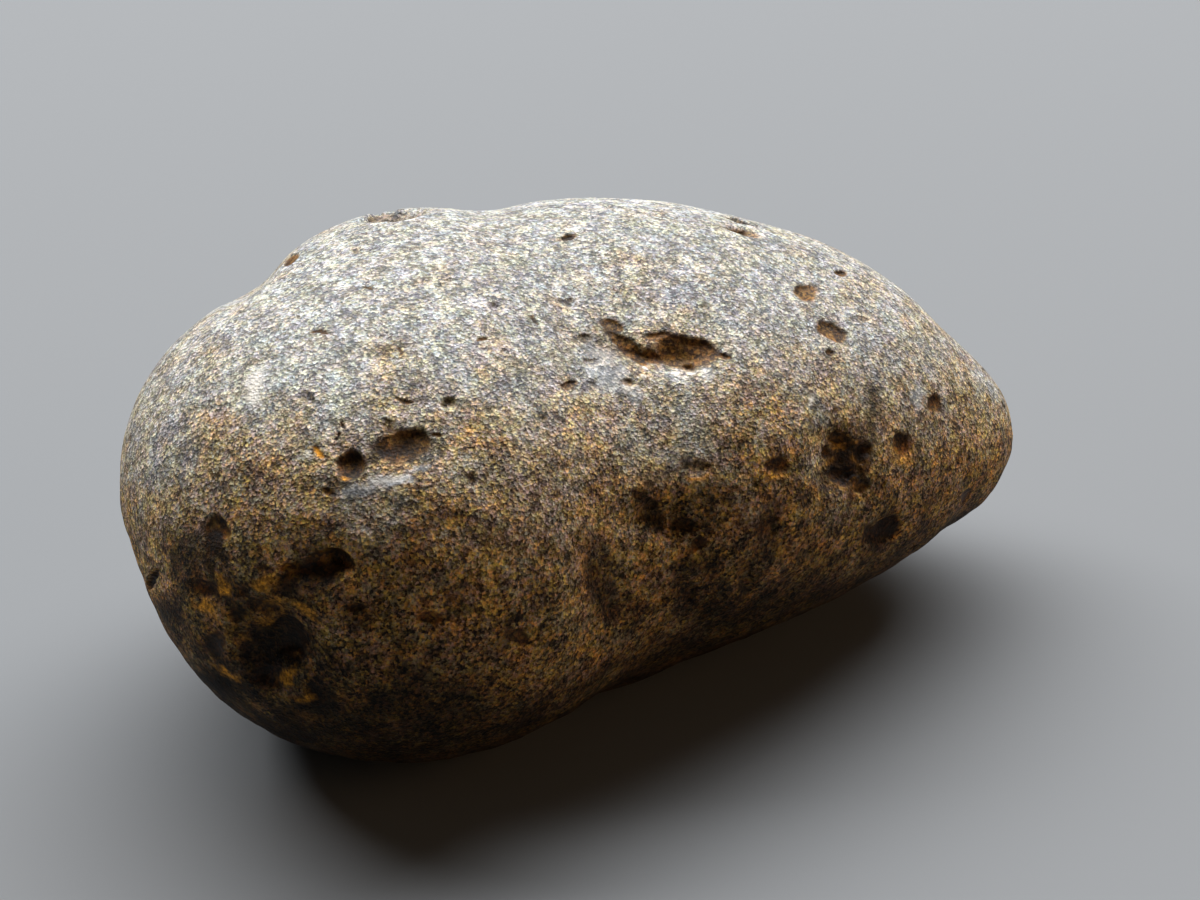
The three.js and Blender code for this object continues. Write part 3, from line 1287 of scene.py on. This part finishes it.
# A scoop's dark is painted shade under its sharpest edge; a pit's glint a painted amber glint.
PITS = (
    Pit("brow_bowl", (-70.5, 51.8), -18, (
        Scoop((3.2, 1.6), 0.18, (0.05, 0.0), 0, (0.15, 0.45), dark=0.45),
        Scoop((1.5, 0.7), 0.1, (-1.2, -0.25), -12, (0.0, 0.3), Rim.EASED, dark=0.1),
        Scoop((0.9, 0.36), 0.08, (1.6, -0.05), -8, (0.0, 0.2), Rim.EASED, dark=0.7),
        Scoop((1.5, 0.6), 0.1, (-0.95, 0.6), 10, (0.0, 0.3), Rim.EASED, dark=0.7),
        Scoop((0.55, 0.42), -0.03, (-0.35, -0.95), rim=Rim.EASED, glass=0, dark=0),
        Scoop((0.42, 0.36), -0.03, (0.25, -0.85), rim=Rim.EASED, glass=0, dark=0),
        Scoop((0.34, 0.3), -0.03, (0.0, -1.2), rim=Rim.EASED, glass=0, dark=0),
    ), lean=10, ragged=0.14),
    Pit("brow_grooves", (-93.5, 58.5), -45, (
        Scoop((3.1, 0.85), 0.11, (0.05, 0.05), -10, (0.0, 0.3), Rim.EASED, dark=0.5),
        Scoop((1.4, 0.8), 0.1, (-0.85, 0.5), 6, (0.0, 0.3), Rim.EASED, dark=0.4),
        Scoop((1.2, 0.6), 0.1, (0.7, -0.2), -15, (0.0, 0.3), dark=0.7),
        Scoop((0.34, 0.28), -0.03, (1.15, -0.5), rim=Rim.EASED, glass=0, dark=0),
        Scoop((0.36, 0.3), -0.03, (1.25, -0.95), rim=Rim.EASED, glass=0, dark=0),
    ), lean=8, ragged=0.2),
    Pit("brow_trough", (-86, 55), -16, (
        Scoop((6.0, 2.0), 0.14, (0, -0.2), 0, UPPER_EDGE, Rim.WORN, glass=0.25, dark=0.1),
    ), ragged=0.25),
    Pit("brow_step", (-112, 60), 0, (Scoop((0.8, 0.6), 0.08, apex=UPPER_EDGE, glass=0.5),)),
    Pit("brow_low_step", (-109.5, 52.5), 22, (
        Scoop((1.1, 0.75), 0.08, apex=UPPER_EDGE, rim=Rim.EASED, glass=0.4, dark=0.1),
    ), ragged=0.25),
    Pit("brow_chip", (-116.5, 45.5), 18, (
        Scoop((1.15, 0.5), 0.1, apex=UPPER_EDGE, glass=0.8),
    ), lean=12),
    Pit("brow_dimple", (-97.5, 47.5), -12, (
        Scoop((0.75, 0.48), 0.08, apex=UPPER_EDGE, rim=Rim.EASED, glass=0.7),
    )),
    Pit("oval_pit", (-142, 28), -6, (
        Scoop((2.8, 1.7), 0.2, apex=(0.3, 0.42), dark=0.6),
        Scoop((0.5, 0.2), 0.06, (1.45, 0.35), -15, dark=0.5),
    ), lean=12),
    Pit("round_pit", (-146.5, 24.5), 0, (
        Scoop((1.3, 1.2), 0.3, apex=(0.1, 0.25), rim=Rim.CLIFF, dark=0.8),
    ), lean=8),
    Pit("gold_slit", (-151.5, 25), -72, (Scoop((0.8, 0.26), 0.07, dark=0.1),), ragged=0.2),
    Pit("dark_crack", (-151, 29), -82, (Scoop((0.5, 0.16), 0.1, dark=0.9),), ragged=0.3),
    Pit("dark_crack_end", (-150.5, 27.5), 47, (Scoop((0.4, 0.16), 0.1, dark=0.9),), ragged=0.3),
    Pit("oval_spot", (-147.5, 21), -47, (Scoop((0.7, 0.32), 0.07, dark=0.6),)),
    Pit("cheek_cup", (-159.5, 12.5), -16, (
        Scoop((1.6, 1.4), 0.18, apex=(0.3, 0.4), dark=0.9),
    ), lean=10),
    Pit("cheek_slot", (-146.5, 12), 0, (
        Scoop((2.6, 1.3), 0.26, (0.3, 0.0), 4, (0.3, 0.2), dark=1.0),
        Scoop((1.3, 0.7), 0.16, (-0.9, 0.0), -6, UPPER_EDGE, Rim.EASED, dark=0.5),
        Scoop((1.0, 0.5), 0.08, (-2.0, 0.1), -20, UPPER_EDGE, Rim.EASED, 0.6, 0.3),
    ), lean=10, ragged=0.2),
    Pit("cheek_hollow", (-152, 1), 0, (
        Scoop((1.9, 1.2), 0.2, (-0.1, 1.5), 0, (0.0, 0.3), Rim.EASED, dark=0.6),
        Scoop((2.4, 1.5), 0.25, (0.8, 0.1), 72, (0.0, -0.3), Rim.EASED, dark=0.85),
        Scoop((2.0, 1.2), 0.2, (0.0, -1.6), 16, (0.0, 0.2), Rim.EASED, dark=0.85),
        Scoop((4.8, 4.0), 0.15, (-0.1, 0.0), 60, (0.0, 0.0), Rim.WORN, 0.5, 0.85),
    ), ragged=0.25),
    Pit("cheek_dark", (-158.5, -1), 46, (
        Scoop((2.3, 1.3), 0.15, rim=Rim.EASED, dark=0.75),
    ), ragged=0.25),
    Pit("cheek_nick", (-159.5, 5.5), -4, (
        Scoop((1.9, 0.9), 0.16, apex=UPPER_EDGE, dark=1.0),
    ), lean=10),
    Pit("heel_chip", (-141, 8), -5, (Scoop((0.95, 0.5), 0.12, apex=UPPER_EDGE),), lean=10),
    Pit("heel_dent", (-132.5, 7), -10, (Scoop((1.2, 0.7), 0.1, rim=Rim.EASED, dark=0.4),)),
    Pit("heel_slot", (-122, 2), -37, (Scoop((1.5, 0.7), 0.14, apex=UPPER_EDGE, dark=0.7),)),
    Pit("edge_split", (-170.5, 1.5), 70, (Scoop((2.6, 0.5), 0.3, dark=0.9),), ragged=0.15),
    Pit("waist_crease", (-109, 4.5), -62, (
        Scoop((1.8, 1.2), 0.18, (1.2, 0.0), 15, rim=Rim.EASED, glass=0.3, dark=0.7),
        Scoop((1.6, 1.0), 0.16, (-0.9, 0.1), 0, rim=Rim.EASED, glass=0.3, dark=0.7),
        Scoop((4.8, 2.0), 0.1, rim=Rim.WORN, glass=0.2, dark=0.75),
    ), ragged=0.25),
    Pit("flank_slot", (-92.5, 14.5), -20, (
        Scoop((1.7, 1.0), 0.22, (-0.95, 0.15), -28, UPPER_EDGE, glass=0.5, dark=0.95),
        Scoop((0.9, 0.7), 0.12, (-1.6, 0.75), -20, rim=Rim.EASED, glass=0.4, dark=0.7),
        Scoop((1.5, 0.7), 0.18, (0.75, -0.15), -4, UPPER_EDGE, glass=0.5, dark=1.0),
        Scoop((4.4, 2.0), 0.1, rim=Rim.WORN, glass=0.1, dark=0.2),
    ), lean=8, ragged=0.25),
    Pit("flank_nick", (-86.5, 8), 10, (Scoop((0.8, 0.6), 0.1, dark=0.6),), ragged=0.2),
    Pit("flank_low", (-89, -3.5), -67, (
        Scoop((1.6, 1.0), 0.15, rim=Rim.EASED, glass=0.4, dark=0.5),
    ), ragged=0.2),
    Pit("flank_groove", (-74.5, -4.5), -77, (
        Scoop((2.6, 0.9), 0.15, rim=Rim.EASED, glass=0.4, dark=0.5),
    ), ragged=0.2),
    Pit("flank_cup", (-70.5, 8), -64, (
        Scoop((1.5, 1.2), 0.18, apex=UPPER_EDGE, glass=0.4, dark=0.95),
    ), lean=8, ragged=0.25),
    Pit("golden_crescent", (-84, 24.5), -9, (
        Scoop((1.25, 0.8), 0.1, apex=(0.0, 0.35), glass=0.2, dark=0.5),
    ), glint=1.0),
    Pit("round_flank_pit", (-65, 19.5), -13, (
        Scoop((1.4, 1.0), 0.16, apex=UPPER_EDGE, dark=0.95),
    ), lean=10, glint=0.6),
    Pit("pit_cluster", (-44.8, 12.2), 0, (
        Scoop((1.15, 0.75), 0.24, (-0.45, 0.9), -24, UPPER_EDGE, dark=1.0),
        Scoop((0.85, 0.8), 0.16, (-1.0, 0.4), 20, UPPER_EDGE, dark=0.9),
        Scoop((1.15, 1.0), 0.26, (0.65, 0.1), -33, UPPER_EDGE, dark=1.0),
        Scoop((2.0, 0.9), 0.26, (-0.45, -0.65), -8, UPPER_EDGE, dark=1.0),
        Scoop((1.0, 0.65), 0.16, (0.3, -1.2), -15, UPPER_EDGE, dark=0.9),
        Scoop((3.1, 2.6), 0.14, (-0.1, -0.1), 75, rim=Rim.EASED, glass=0.6, dark=0.85),
    ), lean=8, ragged=0.25, glint=0.2),
    Pit("round_nose_pit", (-34, 9), -14, (
        Scoop((1.5, 1.3), 0.22, apex=UPPER_EDGE, dark=0.95),
    ), lean=10, glint=0.5),
    Pit("tip_pit", (-22.5, 10), 9, (Scoop((1.4, 1.1), 0.18, apex=UPPER_EDGE, dark=0.95),), lean=10),
    Pit("snout_pit", (-39, -5), -42, (
        Scoop((2.3, 1.1), 0.22, (0.3, 0.1), 8, rim=Rim.EASED, glass=0.7, dark=0.95),
        Scoop((1.9, 1.0), 0.18, (-0.5, -0.45), -8, rim=Rim.EASED, glass=0.5, dark=0.8),
    ), ragged=0.32),
    Pit("tip_notch", (-21, -7.5), -44, (Scoop((1.7, 0.9), 0.16, rim=Rim.EASED),), ragged=0.2),
    Pit("nose_pit_a", (-14.5, 38), 27, (Scoop((2.0, 1.2), 0.13, apex=UPPER_EDGE, dark=0.6),), lean=10),
    Pit("nose_pit_b", (-25, 32), -24, (Scoop((1.9, 1.2), 0.13, apex=UPPER_EDGE, dark=0.6),), lean=10),
    Pit("nose_pit_c", (-31, 30.5), 11, (Scoop((0.6, 0.35), 0.08),)),
    Pit("nose_pit_d", (-1, 30), 21, (Scoop((1.2, 0.5), 0.12, apex=UPPER_EDGE),), lean=10),
    Pit("nose_pit_e", (-16, 28), 8, (Scoop((1.6, 0.5), 0.07, rim=Rim.EASED, glass=0.3, dark=0.2),)),
    Pit("top_pit", (97, 81), 26, (Scoop((0.8, 0.5), 0.16, dark=0.9),), lean=10),
    Pit("nape_pit", (152.5, 36), 71, (Scoop((2.3, 0.9), 0.16, apex=UPPER_EDGE, dark=0.8),), lean=8),
    Pit("slit_a", (-169, 38), -45, (Scoop((0.85, 0.24), 0.08, bend=SLIT_BEND),), ragged=0.2),
    Pit("slit_b", (-177, 47), -52, (Scoop((0.6, 0.2), 0.07, bend=SLIT_BEND),), ragged=0.2),
    Pit("slit_c", (-142.5, 50), 0, (Scoop((0.7, 0.2), 0.07, bend=SLIT_BEND),), ragged=0.2),
    Pit("slit_d", (-135, 60.5), -85, (Scoop((0.7, 0.2), 0.06, bend=-SLIT_BEND),)),
    Pit("slit_e", (-153.5, 41.5), -89, (Scoop((0.6, 0.22), 0.06, bend=SLIT_BEND),)),
    Pit("slit_f", (-145.5, 34.5), -35, (Scoop((0.9, 0.25), 0.07, bend=-SLIT_BEND),)),
)

PATCHES = {
    # Polished lips, their pale bluish colour partly a painted sky reflection.
    Finish.POLISH_AND_REFLECTION: (
        Patch((-103.5, 49), (2.2, 1.3), -11, 0.5),
        Patch((-97.5, 45), (1.4, 0.9), -29, 0.45),
        Patch((-69.5, 44.5), (1.0, 0.8), -35, 0.45),
        Patch((-107, 54), (2.6, 1.6), 65, 0.3),
        Patch((-141, 24), (2.4, 0.6), -8, 0.9),
        Patch((-138.5, 26), (1.2, 0.45), 0, 0.6),
        Patch((-144.5, 22), (2.0, 0.6), -8, 0.7),
        Patch((-25, 13.5), (1.9, 0.8), 60, 0.45),
    ),
    # Painted shade in dark hollows, creases and pit floors.
    Finish.SHADE_AND_DARK_GLASS: (
        Patch((-151.5, 0), (5.4, 3.8), 65, 0.9),
        Patch((-155, 7), (5.5, 3.0), -10, 0.35),
        Patch((-146.5, 11), (3.0, 1.3), -5, 0.9),
        Patch((-159, 11), (2.2, 1.8), -16, 1.0),
        Patch((-162.5, 8), (4.4, 2.8), 35, 0.85),
        Patch((-166.5, 0), (4.6, 2.2), 71, 0.9),
        Patch((-160, -8), (6.0, 3.2), 65, 0.9),
        Patch((-152, -14), (6.0, 3.4), 72, 0.8),
        Patch((-35.5, 17.5), (3.8, 1.8), 59, 0.8),
        Patch((-50.5, 10.5), (2.8, 1.4), -13, 0.8),
        Patch((-107.5, 55), (2.6, 1.6), 65, 0.3),
        Patch((-146, -12), (4.5, 2.0), -30, 0.4),
        Patch((-44.8, 12), (3.4, 2.6), 70, 1.0),
        Patch((-142.5, 27.5), (2.8, 1.7), -6, 0.85),
        Patch((-146.5, 24), (1.5, 1.4), 0, 0.8),
        Patch((-109, 4.5), (4.4, 1.5), -62, 0.75),
        Patch((-108.5, 9), (1.5, 1.1), -35, 0.6),
        Patch((-72.5, 3), (2.0, 1.3), -42, 0.55),
        Patch((-86.5, 2.5), (3.6, 1.4), -20, 0.65),
        Patch((-70.5, 7.6), (1.4, 1.1), -64, 0.8),
        Patch((-41, -6.5), (2.6, 1.2), -40, 0.85),
        Patch((-95.8, 15.4), (1.8, 1.2), -35, 0.85),
        Patch((-136, -7), (10.0, 3.6), 1, 0.35),
        Patch((-107, 0), (3.7, 2.7), -65, 0.3),
        Patch((-86, -4), (5.0, 2.2), -40, 0.25),
        Patch((-89, 12.4), (1.6, 0.8), -22, 0.95),
    ),
    # Painted amber glints, as of light shining through thin glass.
    Finish.AMBER_GLINT: (
        Patch((-151.5, 25), (0.8, 0.26), -72, 1.0),
        Patch((-146.5, 23), (0.5, 0.22), -30, 0.6),
        Patch((-152, 9), (1.5, 0.8), 4, 1.0),
        Patch((-159.5, 3.5), (1.5, 0.7), 6, 0.95),
        Patch((-157, 7), (1.0, 0.8), 16, 0.8),
        Patch((-147, 6.5), (1.2, 0.6), -28, 0.7),
        Patch((-157.5, -5), (1.7, 0.7), 20, 1.0),
        Patch((-149.5, -3), (1.3, 0.6), 42, 0.65),
        Patch((-147, -5.5), (1.1, 0.5), 45, 0.6),
        Patch((-35, 6.5), (1.2, 0.4), -21, 0.5),
        Patch((-45, 15.3), (0.9, 0.4), -10, 0.45),
    ),
    # More or less frosting; the paler or darker skin is partly painted light and shade.
    Finish.FROST_AND_LIGHT: (
        Patch((-85, 29), (5.4, 3.8), -10, 0.3),
        Patch((-84, 24), (5.0, 2.2), -12, 0.25),
        Patch((-131, 34), (5.0, 2.4), -6, -0.22),
        Patch((-20, 30), (9.0, 6.0), 0, 0.2),
        Patch((-73, 15), (3.2, 2.2), -36, 0.45),
        Patch((-142, 4), (4.4, 1.8), -7, 0.4),
        Patch((-53, 2.5), (2.8, 1.6), -27, 0.35),
        Patch((-49, 23), (2.8, 1.2), 24, 0.2),
        Patch((-142, 20.5), (4.4, 2.2), -5, 0.4),
        Patch((-8, 3.5), (4.6, 2.0), 0, 0.3),
        Patch((-23, -6.5), (4.6, 1.8), -23, 0.4),
        Patch((-164, 6), (5.0, 3.0), 55, -0.35),
        Patch((-158, -10), (6.0, 3.0), -25, -0.35),
    ),
    Finish.CHALK_AND_HIGHLIGHT: (
        Patch((-166.5, 28.5), (2.6, 1.0), 68, 0.75),
        Patch((-47, 27.5), (0.7, 0.3), 65, 0.9),
        Patch((-152.5, 24.5), (0.5, 0.16), -75, 0.9),
        Patch((-115, 44), (0.5, 0.16), 11, 0.9),
        Patch((-141.5, 24), (1.9, 0.4), -8, 0.6),
        Patch((-97.5, 46.2), (0.6, 0.3), -12, 0.6),
    ),
}

ETCHINGS = (
    Etching(Patch((-151, 2), (9.0, 7.0), 0, 0.9), 1.4, 0.12, 0.4),
    Etching(Patch((-98, 3), (9.0, 6.0), -30, 0.5), 1.6, 0.08, 0.25),
    Etching(Patch((-65, 3), (10.0, 5.0), 10, 0.5), 1.4, 0.08, 0.3),
    Etching(Patch((-45, 12), (3.6, 3.0), 75, 0.8), 0.8, 0.12, 0.2),
    Etching(Patch((72, -4), (11.0, 6.0), 12, 0.6), 1.5, 0.08, 0.25),
    Etching(Patch((132, 2), (9.0, 6.0), -25, 0.6), 1.5, 0.08, 0.3),
    Etching(Patch((20, -8), (7.0, 4.0), 15, 0.5), 1.3, 0.07, 0.2),
)


def main() -> None:
    """Builds the stone and the studio around it, and logs the stone's triangles and lamp powers."""
    logging.basicConfig(level=logging.INFO, format="%(name)s: %(message)s")
    cad_low, cad_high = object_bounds()

    stone = Stone(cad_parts[NODE], PITS, PATCHES, ETCHINGS).build("tektite_skin")
    stone.data.materials.append(FrostedGlass().build())
    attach(stone, "root")
    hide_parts(NODE)

    studio = Studio(cad_low, cad_high)
    studio.build_floor()
    studio.build_lamps()
    studio.build_camera()
    bpy.context.scene.view_settings.view_transform = "Standard"


if __name__ == "__main__":
    main()
